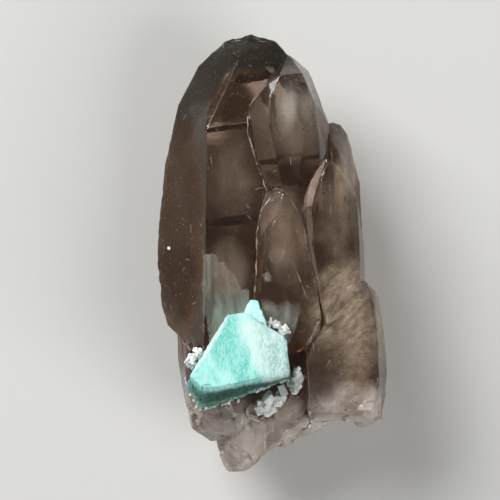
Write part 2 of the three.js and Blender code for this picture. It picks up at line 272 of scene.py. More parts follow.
@dataclass(frozen=True)
class SmokyQuartz:
    """Clear to milky smoky brown crystal with glossy faces and a pale, dull base; some pale zones and seams are painted
    highlights, and one dark zone is a painted shadow.
    """

    smoke: Colour = (0.72, 0.52, 0.36, 1.0)
    density: float = 115.0
    refraction: float = 1.544
    haze: Colour = (0.10, 0.059, 0.035, 1.0)
    pale_haze: Colour = (0.51, 0.395, 0.29, 1.0)
    grey_haze_and_highlight: Colour = (0.42, 0.375, 0.32, 1.0)
    base_low: Colour = (0.50, 0.42, 0.36, 1.0)
    base_high: Colour = (0.96, 0.87, 0.80, 1.0)
    cap_haze: Colour = (0.032, 0.027, 0.021, 1.0)
    seam: Colour = (0.95, 0.92, 0.88, 1.0)
    mottle: Colour = (0.55, 0.5, 0.46, 1.0)
    dark_haze_and_shadow: Colour = (0.028, 0.015, 0.009, 1.0)
    amber_haze: Colour = (0.095, 0.052, 0.027, 1.0)
    dark_tint_and_shadow: Colour = (0.32, 0.20, 0.12, 1.0)
    amber_tint: Colour = (0.80, 0.46, 0.22, 1.0)
    cap_tint: Colour = (0.34, 0.33, 0.31, 1.0)
    roughness: float = 0.03
    milk_gloss: float = 0.04
    depth: float = 0.15 * MM
    # Pale zones of milky haze; the first three, with the streaks that break them up, are painted highlights on the
    # upper middle crystal.
    pale: tuple[Zone, ...] = (
        Zone(1.8, 16.6, 1.3, 3.8, -0.1, 0.5, 1.6), Zone(4.0, 18.0, 1.5, 3.6, -0.15, 0.5, 1.6),
        Zone(2.4, 15.8, 5.0, 6.6, 0.0, 0.6, 1.3), Zone(8.9, 11.0, 2.2, 5.0, 0.0, 0.8, 1.2),
        Zone(7.6, 5.2, 3.4, 6.5, 0.0, 0.65, 1.2), Zone(1.6, 1.8, 3.9, 7.6, 0.2, 0.62, 1.2),
        Zone(8.8, -8.6, 7.0, 9.6, 0.0, 0.8, 1.3), Zone(9.4, -17.2, 6.0, 2.9, 0.2, 0.4, 1.2),
        Zone(-4.6, 8.5, 3.8, 6.8, 0.0, 0.42, 1.2), Zone(8.0, -2.0, 4.4, 3.4, 0.7, 0.5, 1.5),
        Zone(-5.2, -2.0, 3.4, 4.4, 0.0, 0.4),
    )
    dense: tuple[Zone, ...] = (
        Zone(-12.4, 3.0, 4.9, 18.0, 0.0, 1.0, 0.35), Zone(-2.5, 25.0, 7.0, 4.6, 0.0, 0.9, 0.5),
        Zone(-5.8, 18.2, 0.7, 4.4, -0.414, 1.0, 0.4), Zone(-8.0, 20.5, 4.2, 2.8, 0.95, 0.9, 0.5),
        Zone(-5.0, 17.6, 3.2, 2.8, 0.15, 0.6, 0.5), Zone(5.9, 16.6, 1.0, 6.4, 0.2, 0.8, 0.6),
        Zone(10.6, 8.0, 1.2, 8.0, 0.05, 0.8, 0.6), Zone(13.4, -9.0, 1.3, 8.0, 0.0, 0.8, 0.6),
    )
    # Dark zones of darker smoke and bands; the one at x -11.2, y -3.6, low on the left, is a painted shadow.
    dark_and_shadow: tuple[Zone, ...] = (
        Zone(-4.9, 17.6, 2.9, 2.7, 0.15, 1.0, 0.5), Zone(-4.6, 3.9, 3.6, 0.6, 0.13, 0.55, 0.6),
        Zone(-11.2, -3.6, 3.4, 6.0, 0.0, 1.0, 1.2), Zone(-11.0, 6.0, 3.6, 15.0, 0.0, 0.75),
        Zone(2.4, 9.4, 3.8, 1.5, 0.08, 0.8, 0.6), Zone(6.6, -11.6, 2.6, 3.1, 0.5, 0.22, 1.2),
        Zone(-5.8, 18.2, 0.6, 4.3, -0.414, 0.9, 0.4), Zone(2.9, -12.2, 1.3, 2.6, 0.0, 0.9),
    )
    amber: tuple[Zone, ...] = (
        Zone(-1.4, -1.0, 0.75, 4.8, -0.12, 0.8, 0.7), Zone(8.1, 0.9, 4.0, 1.9, 0.1, 0.6, 1.4),
        Zone(2.4, 8.8, 3.4, 1.2, 0.08, 0.3, 1.2),
    )

    def base_mask(self, s: Shader, x: Signal, y: Signal) -> Signal:
        """How much of the milky, broken base shows: 0 in the clear crystals, 1 at the bottom."""
        ragged = s.clouds(240.0, 4.0, 0.6) * 6.0 - 3.0
        slant = y + ragged + (x - 4.0).unit() * 0.6
        return slant.smooth(-13.5, -19.5)

    def cap_mask(self, s: Shader, x: Signal, y: Signal) -> Signal:
        """The darker, greyer tip and its left face."""
        tip = (y + s.clouds(300.0) * 1.2).smooth(21.2, 22.8)
        face = (y - 17.0 - (x + 7.7) * 1.63).smooth(-0.3, 0.6) * y.smooth(9.0, 19.5)
        return (tip + face).unit()

    def total(self, s: Shader, zones: tuple[Zone, ...], x: Signal, y: Signal) -> Signal:
        """Adds up some areas, held between 0 and 1."""
        wobble = s.clouds(320.0, 4.0, 0.6) - 0.5
        first, *rest = (zone.signal(x, y, wobble) for zone in zones)
        return sum(rest, first).unit()

    def material(self) -> Material:
        """The finish as a material."""
        s = Shader("smoky_quartz")
        x, y, _ = s.axes()
        base = self.base_mask(s, x, y)
        cap = self.cap_mask(s, x, y)
        groups = (self.pale, self.dense, self.dark_and_shadow, self.amber)
        pale, dense, dark_and_shadow, amber = (self.total(s, zones, x, y) for zones in groups)
        streaks = s.clouds(210.0, 3.0, 0.5, 0.4, s.mapped((1.5, 0.4, 1.0), -0.12))
        corner = x.smooth(3.2, 5.2) * y.smooth(0.5, -3.0)
        rays = s.clouds(420.0, 4.0, 0.6, 0.3, s.mapped((0.625, 4.0, 1.0), -0.785, "TEXTURE"))
        scales = s.clouds(2600.0, 3.0, 0.7, 0.4, s.mapped((1.0, 2.0, 1.0), -1.0, "TEXTURE"))
        even = scales.smooth(0.35, 0.65) * 0.3 + rays.smooth(0.36, 0.66) * (y.smooth(-13.0, -6.0) * 0.6 + 0.1) + 0.75
        # Vertical streaks break up the pale zones and shape the painted highlights on the upper middle crystal.
        along = streaks.smooth(0.25, 0.75) * 0.6 + 0.65
        pale = (pale * (along + (even - along) * corner) - dark_and_shadow * 0.8).unit()
        patches = s.clouds(170.0, 4.0, 0.55).smooth(0.3, 0.7)
        dust = s.clouds(3200.0, 2.0).smooth(0.5, 0.75)
        tint = s.blend(dark_and_shadow * 0.9, WHITE, self.dark_tint_and_shadow)
        tint = s.blend(amber * 0.7, tint, self.amber_tint)
        tint = s.blend(cap * 0.75, tint, self.cap_tint, "MULTIPLY")
        rough = base * 0.2 + patches * 0.06 + self.roughness
        ripples = s.clouds(900.0, 3.0, 0.6)
        scratches = s.clouds(500.0, 3.0, 0.6, where=s.mapped((0.2, 2.8, 0.2), -0.1))
        relief = ripples * (base * 0.3 + corner * 0.25 + 0.1) + scratches * 0.3
        normal = s.bump(relief, 0.4, self.depth)
        clear = s.glossy(Base_Color=tint, Roughness=rough, Normal=normal, IOR=self.refraction, Transmission_Weight=1.0)
        # The greyer milk on the upper middle crystal is also the colour of its painted highlights.
        cool = y.smooth(11.0, 18.0) * x.smooth(-1.5, 1.0)
        milk_and_highlight = s.blend(cool, self.pale_haze, self.grey_haze_and_highlight)
        colour = s.blend(pale, self.haze, milk_and_highlight)
        colour = s.blend(cap, colour, self.cap_haze)
        place = s.jittered(600.0, 0.0024)
        tone = s.node("ShaderNodeSeparateXYZ", None, {0: s.cells(230.0, "F1", "Color", place)})
        # Pale seams along the flake edges of the base, partly painted highlights on its fracture ridges.
        seam = s.cells(230.0, "DISTANCE_TO_EDGE", "Distance", place).smooth(0.03, 0.0) * ripples.smooth(0.4, 0.6)
        level = (tone * 0.6 + streaks.smooth(0.35, 0.65) * 0.4).unit()
        milky_base = s.blend(level, self.base_low, self.base_high)
        milky_base = s.blend(seam * 0.7, milky_base, self.seam)
        colour = s.blend(base, colour, milky_base)
        mottle = (streaks.smooth(0.6, 0.35) * 0.3 + patches * 0.3).unit() * (1.0 - corner * 0.7)
        colour = s.blend(mottle, colour, self.mottle, "MULTIPLY")
        # Darkens the milky colour in the dark zones, including the painted shadow low on the left.
        colour = s.blend(dark_and_shadow * 0.8, colour, self.dark_haze_and_shadow)
        colour = s.blend(amber * 0.65, colour, self.amber_haze)
        milky = s.glossy(Base_Color=colour, Roughness=rough + 0.12, Normal=normal, IOR=self.refraction,
                         Specular_IOR_Level=self.milk_gloss)
        cloudy = patches * 0.14 + 0.06 + dust * 0.06 + pale * 0.55 + base * 0.45
        share = (cloudy + dense * (patches * 0.25 + 0.7) + amber * 0.3).unit()
        smoke = s.node("ShaderNodeVolumeAbsorption", None, {"Color": self.smoke, "Density": self.density})
        return s.output(s.mix(share, clear, milky), smoke)


@dataclass(frozen=True)
class BlueGreenFeldspar:
    """Amazonite: blue-green with fine white streaks, satin."""

    deep: Colour = (0.11, 0.60, 0.52, 1.0)
    bright: Colour = (0.30, 0.83, 0.76, 1.0)
    white: Colour = (0.72, 0.88, 0.84, 1.0)
    shade: Colour = (0.012, 0.075, 0.055, 1.0)
    worn: Colour = (0.28, 0.50, 0.45, 1.0)
    hem: Colour = (0.36, 0.70, 0.58, 1.0)
    fine: float = 0.12 * MM
    coarse: float = 0.3 * MM

    def material(self) -> Material:
        """The finish as a material."""
        s = Shader("amazonite")
        x, y, z = s.axes()
        dashes = s.clouds(7600.0, 3.0, 0.7, 0.5, s.mapped((1.0, 0.3, 1.0), 0.22))
        broad = s.clouds(520.0, 4.0, 0.6, 0.3, s.mapped((1.0, 0.4, 1.0), 0.22))
        side = (x + y * 0.42 + broad).smooth(-7.7, -5.7) * (y.smooth(-6.6, -8.6) * 0.75 + 0.25)
        # A painted highlight along the top-left edge of the front face.
        rim = Zone(-7.2, -10.4, 0.4, 4.6, -0.564, 1.0, 0.8).signal(x, y, broad - 0.5)
        streaks = (dashes.smooth(0.43, 0.6) * 0.85 + broad.smooth(0.42, 0.7) * 0.35).unit()
        colour = s.blend(broad.smooth(0.35, 0.65), self.deep, self.bright)
        colour = s.blend((streaks * 0.55 + side * 0.55 + rim * 0.6).unit(), colour, self.white)
        worn = Zone(0.6, -11.8, 2.2, 3.4, 0.0, 0.85, 1.2).signal(x, y, broad - 0.5)
        colour = s.blend(worn * dashes.smooth(0.62, 0.4), colour, self.worn)
        # Painted shade on the down-facing lower face, weaker towards the left end.
        low = z.smooth(20.25, 19.5) * y.smooth(-13.0, -13.8) * (1.0 - side * 0.15)
        left = x.smooth(-6.0, -9.6)
        colour = s.blend(low * (broad * 0.3 + 0.95) * (1.0 - left * 0.3), colour, self.shade)
        hem = z.smooth(18.5, 17.4) * y.smooth(-12.6, -13.6)
        colour = s.blend(hem * (dashes.smooth(0.35, 0.6) * 0.4 + 0.25), colour, self.hem)
        normal = s.bump(dashes, 0.45, self.fine, s.bump(broad, 0.3, self.coarse))
        return s.output(s.glossy(Base_Color=colour, Roughness=dashes * 0.3 + 0.35, Normal=normal))


@dataclass(frozen=True)
class WhiteFeldspar:
    """Albite: white and slightly translucent, sugary."""

    colour: Colour = (0.94, 0.95, 0.92, 1.0)
    dull: Colour = (0.74, 0.77, 0.73, 1.0)
    refraction: float = 1.53
    clearness: float = 0.12
    depth: float = 0.1 * MM

    def material(self) -> Material:
        """The finish as a material."""
        s = Shader("albite")
        grain = s.clouds(1500.0, 4.0, 0.6)
        colour = s.blend(grain.smooth(0.35, 0.65), self.dull, self.colour)
        normal = s.bump(grain, 0.35, self.depth)
        return s.output(s.glossy(Base_Color=colour, Roughness=grain * 0.3 + 0.08, Normal=normal,
                                 Transmission_Weight=self.clearness, IOR=self.refraction))


@dataclass(frozen=True)
class HealedCrack:
    """A whitish sheet of tiny bubbles inside the quartz, green beside the amazonite."""

    green: float
    thickness: float
    fade: Pair = (6.0, 5.0)
    grey: Colour = (0.72, 0.71, 0.66, 1.0)
    tinged: Colour = (0.70, 0.86, 0.77, 1.0)

    def material(self, name: str) -> Material:
        """The finish as a material of some name."""
        s = Shader(name)
        y = s.axes()[1]
        streaks = s.clouds(420.0, 4.0, 0.6, 0.6, s.mapped((1.5, 0.3, 1.0), -0.1))
        near = y.smooth(-2.5, -7.5) * self.green
        colour = s.blend(near, self.grey, self.tinged)
        share = (streaks.smooth(0.38, 0.68) * 0.8 + 0.2) * self.thickness * y.smooth(*self.fade)
        return s.output(s.sheer(share, s.glossy(Base_Color=colour, Roughness=0.6)))


@dataclass(frozen=True)
class WhiteDust:
    """Tiny white chips on the faces."""

    colour: Colour = (0.78, 0.74, 0.66, 1.0)
    dull: Colour = (0.5, 0.46, 0.4, 1.0)

    def material(self) -> Material:
        """The finish as a material."""
        s = Shader("white_chips")
        colour = s.blend(s.clouds(2500.0), self.colour, self.dull)
        return s.output(s.glossy(Base_Color=colour, Roughness=0.5))


def put(name: str, data: ID) -> Object:
    """Makes an object of some data and links it to the scene."""
    made = bpy.data.objects.new(name, data)
    bpy.context.scene.collection.objects.link(made)
    return made


def as_piece(mesh: BMesh, name: str, material: Material, smooth: bool = True) -> Object:
    """Turns a working mesh into a dressed object, and frees it.

    Args:
        mesh: the working mesh.
        name: the piece's name.
        material: its finish.
        smooth: whether it is shaded smooth.

    Returns:
        The object.
    """
    data = bpy.data.meshes.new(name)
    mesh.to_mesh(data)
    mesh.free()
    data.materials.append(material)
    if smooth:
        data.shade_smooth()
    return put(name, data)


def split(mesh: BMesh, limit: Callable[[BMEdge], float], rounds: int) -> None:
    """Halves long edges again and again, and keeps the mesh in triangles.

    Args:
        mesh: the working mesh.
        limit: gives the length that an edge may keep.
        rounds: the most times that it is done.
    """
    for _ in range(rounds):
        long_edges = [edge for edge in mesh.edges if edge.calc_length() > limit(edge)]
        if not long_edges:
            break
        bmesh.ops.subdivide_edges(mesh, edges=long_edges, cuts=1)
        bmesh.ops.triangulate(mesh, faces=mesh.faces)


def sharpness(vertex: BMVert) -> float:
    """The sharpest outward bend among a point's edges, in radians."""
    return max((edge.calc_face_angle_signed(0.0) for edge in vertex.link_edges), default=0.0)


class Sculpt:
    """Turns a CAD solid's copy into a dense mesh that small relief can be cut into."""

    def __init__(self, node: str) -> None:
        """Copies a CAD node's solid and joins its loose triangles."""
        self.mesh = bmesh.new()
        self.mesh.from_mesh(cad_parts[node].data)
        bmesh.ops.remove_doubles(self.mesh, verts=self.mesh.verts, dist=1e-6)

    def dissolve(self, angle: float = math.radians(0.5)) -> "Sculpt":
        """Merges triangles whose bend is no larger than an angle in radians, and gives itself."""
        bmesh.ops.dissolve_limit(self.mesh, angle_limit=angle, verts=self.mesh.verts, edges=self.mesh.edges)
        bmesh.ops.triangulate(self.mesh, faces=self.mesh.faces)
        return self

    def refine(self, longest: float, back: float = 1.0, front: float = 0.0) -> "Sculpt":
        """Splits long edges until none is longer than a length.

        Args:
            longest: the length.
            back: how many times longer the edges behind the front may stay.
            front: the height where the front starts.

        Returns:
            Itself.
        """
        def limit(edge: BMEdge) -> float:
            """The length that an edge may keep."""
            behind = all(end.co.z < front for end in edge.verts)
            return longest * back if behind else longest

        split(self.mesh, limit, 12)
        return self

    def relief(self, move: Callable[[BMVert], Vector]) -> "Sculpt":
        """Shifts every point by a rule, and gives itself."""
        self.mesh.normal_update()
        shifts = [move(vertex) for vertex in self.mesh.verts]
        for vertex, shift in zip(self.mesh.verts, shifts):
            vertex.co += shift
        return self

    def finish(self, name: str, material: Material, crease: float) -> Object:
        """Makes the object, with edges sharper than the crease in radians left sharp."""
        piece = as_piece(self.mesh, name, material)
        piece.data.set_sharp_from_angle(angle=crease)
        return piece


def settle(piece: Object, slot: Slot, *nodes: str) -> Object:
    """Fixes a piece to the specimen.

    Args:
        piece: the piece.
        slot: its material slot; not used.
        nodes: the CAD nodes that it stands for.

    Returns:
        The piece.
    """
    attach(piece, BODY)
    if nodes:
        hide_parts(*nodes)
    LOG.info("%s: %d faces", piece.name, len(piece.data.polygons))
    return piece


def step(value: float, low: float, high: float) -> float:
    """A soft step of a value, from 0 at low to 1 at high."""
    share = min(1.0, max(0.0, (value - low) / (high - low)))
    return share * share * (3.0 - 2.0 * share)


def fracture(place: Vector, cell: float, seed: float) -> float:
    """Height of a broken surface made of flat, tilted flakes.

    Args:
        place: the place in millimetres.
        cell: the size of a flake in millimetres.
        seed: a shift that gives another pattern.

    Returns:
        The height, about -0.5 to 0.5.
    """
    spot = place / cell + Vector((seed, seed, seed))
    points = noise.voronoi(spot)[1]
    tilt = noise.cell_vector(points[0] * 3.7) - Vector((0.5, 0.5, 0.5))
    level = noise.cell(points[0] * 5.3) - 0.5
    return (spot - points[0]).dot(tilt) * 0.9 + level * 0.45


@dataclass
class QuartzGroup:
    """The smoky quartz crystals and their broken base, one grown-together piece."""

    finest: float = 0.38 * MM
    back: float = 2.0
    front: float = 8.0 * MM
    crease: float = math.radians(22)
    wave: float = 0.05
    groove: float = 0.02
    flake: float = 0.9
    chip: float = 0.34
    ripple: float = 0.02
    ripple_centre: Pair = (12.5, -8.0)
    domes: tuple[tuple[float, ...], ...] = ((-5.2, 23.6, 2.0, 0.36), (-0.2, 24.3, 1.5, 0.3))
    finish: SmokyQuartz = SmokyQuartz()

    def broken(self, place: Vector) -> float:
        """How broken the surface is at a place, 0 to 1."""
        edge = -18.0 + 1.6 * noise.noise(place * 0.3)
        flank = step(place.y, edge + 2.2, edge - 1.2)
        step_face = step((place - Vector((-11.6, -10.6, 13.0))).length, 3.6, 1.6)
        return max(flank, 0.5 * step_face)

    def height(self, place: Vector, normal: Vector) -> float:
        """The relief at a place, in millimetres outwards."""
        broken = self.broken(place)
        prism = (1.0 - step(abs(normal.y), 0.15, 0.5)) * (1.0 - broken)
        warp = noise.noise(place * 0.35) * 1.6
        lines = noise.noise(Vector((warp, place.y * 2.3, 7.0))) + 0.5 * noise.noise(Vector((3.0, place.y * 6.0, warp)))
        strength = step(noise.noise(place * 0.22 + Vector((5, 1, 2))), -0.35, 0.35)
        result = self.wave * noise.noise(place * 0.17) + 0.012 * noise.noise(place * 0.8)
        result += self.groove * lines * strength * prism
        reach = math.hypot(place.x - self.ripple_centre[0], (place.y - self.ripple_centre[1]) * 0.8)
        window = step(place.x, 4.6, 6.0) * step(place.y, -18.0, -16.0) * step(place.y, -7.0, -9.0)
        window *= step(place.z, 13.0, 15.5)
        result += self.ripple * window * math.sin(reach * 4.2 + 2.6 * noise.noise(place * 0.45))
        result *= step(place.z, 3.4, 6.5) * 0.8 + 0.2
        result += broken * self.flake * (fracture(place, 3.6, 0.0) + 0.07 * fracture(place, 1.2, 9.0))
        result += 0.3 * fracture(place, 1.3, 4.0) * step(place.y, 23.0, 25.0) * step(place.z, 3.0, 6.0)
        for x, y, reach, lift in self.domes:
            result += lift * math.exp(-((place.x - x) ** 2 + (place.y - y) ** 2) / reach ** 2)
        return result

    def move(self, vertex: BMVert) -> Vector:
        """Shifts a point by the relief and the chips along sharp edges, inside the solids' box."""
        low, high = CAD_BOX
        place = vertex.co / MM
        if place.z < 0.02 and vertex.normal.z < -0.5:
            return Vector()
        amount = self.height(place, vertex.normal)
        sharp = sharpness(vertex)
        if sharp > math.radians(20):
            bite = step(noise.noise(place * 0.9 + Vector((4, 4, 4))), -0.1, 0.6)
            bite *= 0.5 + 0.5 * noise.noise(place * 3.1)
            bite *= 1.0 - 0.85 * step(place.x, 1.2, 0.2) * step(place.y, 13.5, 15.0)
            amount -= self.chip * bite * step(sharp, math.radians(20), math.radians(60))
        target = vertex.co + vertex.normal * amount * MM
        target.x = min(high.x, max(low.x, target.x))
        target.y = min(high.y, max(low.y, target.y))
        target.z = max(0.0, target.z)
        return target - vertex.co

    def build(self) -> Object:
        """Builds and dresses the quartz."""
        sculpt = Sculpt("smoky_quartz").dissolve()
        sculpt.refine(self.finest, self.back, self.front).relief(self.move)
        piece = sculpt.finish("smoky_quartz_crystals", self.finish.material(), self.crease)
        return settle(piece, Slot.QUARTZ, "smoky_quartz")


@dataclass
class AmazoniteCrystal:
    """The blocky blue-green crystal."""

    finest: float = 0.17 * MM
    spread: float = 0.17
    chip: float = 0.3
    grit: float = 0.05
    crease: float = math.radians(16)
    finish: BlueGreenFeldspar = BlueGreenFeldspar()

    def move(self, vertex: BMVert) -> Vector:
        """Swells the crystal to meet its socket, and cuts its cleavage ribs and chipped edges."""
        place = vertex.co / MM
        upper = step(place.y, -9.0, -7.6) * step(vertex.normal.z, 0.1, 0.6) * step(place.x, -5.4, -4.6)
        lift = max(0.0, 20.3 - 0.42 * (place.y + 8.0) - place.z) * upper
        across = Vector((place.x * 2.6 + place.y * 0.55, place.y * 0.45, place.z * 1.2))
        ribs = noise.noise(across * 1.4) * 0.07 + noise.noise(place * 0.6) * 0.12
        flakes = 0.3 * fracture(place, 1.5, 3.0) + 0.12 * fracture(place, 0.6, 1.0)
        ribs += self.grit * (noise.noise(Vector((place.x * 5.0, place.y * 2.2, place.z * 5.0))) + 0.2)
        amount = self.spread + ribs * step(place.y, -6.0, -8.0) + flakes * step(place.z, 19.8, 18.6)
        sharp = sharpness(vertex)
        if sharp > math.radians(15):
            bite = step(noise.noise(place * 1.3), -0.2, 0.6) + 0.3 * step(noise.noise(place * 4.0), 0.0, 0.5)
            amount -= self.chip * bite * step(place.y, -6.5, -8.0)
        target = vertex.co + vertex.normal * amount * MM + Vector((0.0, 0.0, lift * MM))
        target.z = min(CAD_BOX[1].z, target.z)
        return target - vertex.co

    def build(self) -> Object:
        """Builds and dresses the amazonite."""
        sculpt = Sculpt("amazonite").dissolve().refine(self.finest).relief(self.move)
        piece = sculpt.finish("amazonite_crystal", self.finish.material(), self.crease)
        return settle(piece, Slot.AMAZONITE, "amazonite")


@dataclass(frozen=True)
class Grains:
    """What the scatter tree strews: grains to a square metre, widths in metres, proportions, seed."""

    density: float
    smallest: float
    largest: float
    flatness: float
    length: float
    seed: int


class ScatterTree:
    """A Geometry Nodes tree that strews small grains over a piece's faces."""

    GRAIN = (1.4, 1.8, 1.4)

    def __init__(self, name: str, material: Material, keep: bool) -> None:
        """Builds the tree.

        Args:
            name: its name.
            material: the grains' finish.
            keep: whether the piece itself stays in the result, which also turns the grains every way.
        """
        self.tree = bpy.data.node_groups.new(name, "GeometryNodeTree")
        self._socket("Geometry", "Geometry", "INPUT")
        kinds = {size.name: "Int" if size.type is int else "Float" for size in fields(Grains)}
        self.sockets = {label: self._socket(label.capitalize(), kind, "INPUT") for label, kind in kinds.items()}
        self._socket("Geometry", "Geometry", "OUTPUT")
        start = self._node("NodeGroupInput", {})
        points = self._node("GeometryNodeDistributePointsOnFaces", {
            "Mesh": start["Geometry"], "Density": start["Density"], "Seed": start["Seed"]})
        size = self._node("FunctionNodeRandomValue", {2: start["Smallest"], 3: start["Largest"], "Seed": start["Seed"]})
        shape = self._node("ShaderNodeCombineXYZ", {"X": 1.0, "Y": start["Length"], "Z": start["Flatness"]})
        scale = self._node("ShaderNodeVectorMath", {0: shape[0], "Scale": size[1]}, operation="SCALE")
        place = self._node("GeometryNodeInstanceOnPoints", {
            "Points": points["Points"], "Instance": self._node("GeometryNodeMeshCube", {"Size": self.GRAIN})["Mesh"],
            "Scale": scale[0], "Rotation": self._any_way() if keep else self._lying(points["Rotation"])})
        result = self._node("GeometryNodeRealizeInstances", {0: place[0]})[0]
        if keep:
            both = self._node("GeometryNodeJoinGeometry", {0: start["Geometry"]})[0]
            self.tree.links.new(result, both.node.inputs[0])
            result = both
        dressed = self._node("GeometryNodeSetMaterial", {"Geometry": result, "Material": material})
        self._node("NodeGroupOutput", {0: dressed[0]})

    def _socket(self, label: str, kind: str, side: str) -> str:
        """Adds an input or output to the tree and gives its identifier."""
        return self.tree.interface.new_socket(label, in_out=side, socket_type="NodeSocket" + kind).identifier

    def _node(self, kind: str, sockets: dict, **settings: object) -> bpy_prop_collection:
        """Adds a node by its type, sockets and settings, and gives its outputs."""
        return add_node(self.tree, kind, settings, sockets).outputs

    def _any_way(self) -> NodeSocket:
        """A random turn about every axis."""
        return self._node("FunctionNodeRandomValue", {"Max": (math.tau,) * 3}, data_type="FLOAT_VECTOR")[0]

    def _lying(self, along: NodeSocket) -> NodeSocket:
        """A random turn on the face, from the rotation that follows the face."""
        angle = self._node("FunctionNodeRandomValue", {3: math.tau})
        about = self._node("FunctionNodeAxisAngleToRotation", {"Angle": angle[1]})
        return self._node("FunctionNodeRotateRotation", {0: along, 1: about[0]}, rotation_space="LOCAL")[0]

    def grow(self, source: Object, name: str, grains: Grains) -> Object:
        """Runs the tree on a piece and gives the result as a plain mesh.

        Args:
            source: the piece whose faces are strewn.
            name: the new piece's name.
            grains: what is strewn.

        Returns:
            The new piece.
        """
        modifier = source.modifiers.new("scatter", "NODES")
        modifier.node_group = self.tree
        for label, value in asdict(grains).items():
            modifier[self.sockets[label]] = value
        bpy.context.view_layer.update()
        graph = bpy.context.evaluated_depsgraph_get()
        data = bpy.data.meshes.new_from_object(source.evaluated_get(graph))
        source.modifiers.remove(modifier)
        data.name = name
        for vertex in data.vertices:
            vertex.co.z = max(0.0, vertex.co.z)
        return put(name, data)


@dataclass
class AlbiteLumps:
    """The small white lumps round the amazonite, made of sugary grains."""

    nodes: tuple[str, ...] = ("albite_left", "albite_upper", "albite_right", "albite_lower")
    finest: float = 0.3 * MM
    crease: float = math.radians(30)
    small: Grains = Grains(1.6e6, 0.12 * MM, 0.36 * MM, 0.7, 1.3, 4)
    blocky: Grains = Grains(0.9e6, 0.18 * MM, 0.68 * MM, 0.8, 1.1, 6)
    finish: WhiteFeldspar = WhiteFeldspar()

    @staticmethod
    def move(vertex: BMVert) -> Vector:
        """Breaks the round lump up into flat flakes."""
        place = vertex.co / MM
        return vertex.normal * (0.55 * fracture(place, 0.9, 2.0) - 0.2) * MM

    def build(self) -> None:
        """Builds and dresses the lumps."""
        material = self.finish.material()
        tree = ScatterTree("sugary_grains", material, keep=True)
        for node in self.nodes:
            sculpt = Sculpt(node).refine(self.finest).relief(self.move)
            core = sculpt.finish(node + "_core", material, self.crease)
            grains = self.blocky if node == "albite_lower" else self.small
            piece = tree.grow(core, node + "_lumps", grains)
            bpy.data.objects.remove(core)
            settle(piece, Slot.ALBITE, node)


@dataclass
class WhiteChips:
    """Tiny white chips strewn over the quartz."""

    specks: Grains = Grains(4.0e5, 0.006 * MM, 0.036 * MM, 0.4, 1.3, 11)
    dust: Grains = Grains(3.0e6, 0.005 * MM, 0.022 * MM, 0.5, 1.2, 3)
    scratches: Grains = Grains(0.7e5, 0.007 * MM, 0.016 * MM, 0.6, 34.0, 5)
    finish: WhiteDust = WhiteDust()

    def build(self, quartz: Object) -> None:
        """Strews chips, dust and short scratches on the quartz's faces."""
        tree = ScatterTree("strewn_chips", self.finish.material(), keep=False)
        for name, grains in (("chips", self.specks), ("dust", self.dust), ("scratches", self.scratches)):
            settle(tree.grow(quartz, "white_" + name, grains), Slot.ALBITE)


def surface_of(*pieces: Object) -> BVHTree:
    """Gives the surface of some pieces, for laying things on it.

    Args:
        pieces: the pieces.

    Returns:
        Their surface.
    """
    mesh = bmesh.new()
    for piece in pieces:
        mesh.from_mesh(piece.data)
    surface = BVHTree.FromBMesh(mesh)
    mesh.free()
    return surface


def laid_on(surface: BVHTree, place: Vector, lift: float) -> Vector | None:
    """A place in metres, dropped onto a surface and lifted by millimetres, or None where it misses."""
    hit = surface.ray_cast(Vector((place.x, place.y, ABOVE)), DOWN)[0]
    return hit + Vector((0.0, 0.0, lift * MM)) if hit else None


@dataclass(frozen=True)
class PaleSkinAndReflection:
    """Pale, sparkling quartz along an edge that is full of small chips, partly a painted glint; on a small facet, a
    painted reflection.
    """

    colour: Colour
    cover: float
    even: float = 0.0
    depth: float = 0.12 * MM

    def material(self, name: str) -> Material:
        """The finish as a material of a piece."""
        s = Shader(name + "_skin")
        grain = s.clouds(800.0, 4.0, 0.65)
        pale = s.glossy(Base_Color=self.colour, Roughness=0.35, Normal=s.bump(grain, 0.6, self.depth))
        share = (grain.smooth(0.36, 0.6) * (1.0 - self.even) + self.even) * self.cover
        return s.output(s.sheer(share, pale))


@dataclass(frozen=True)
class Edge:
    """One chipped edge, partly a painted glint: its width in millimetres, its cover, its points and whether it is
    nearly white.
    """

    width: float
    cover: float
    points: Outline
    white: bool = False


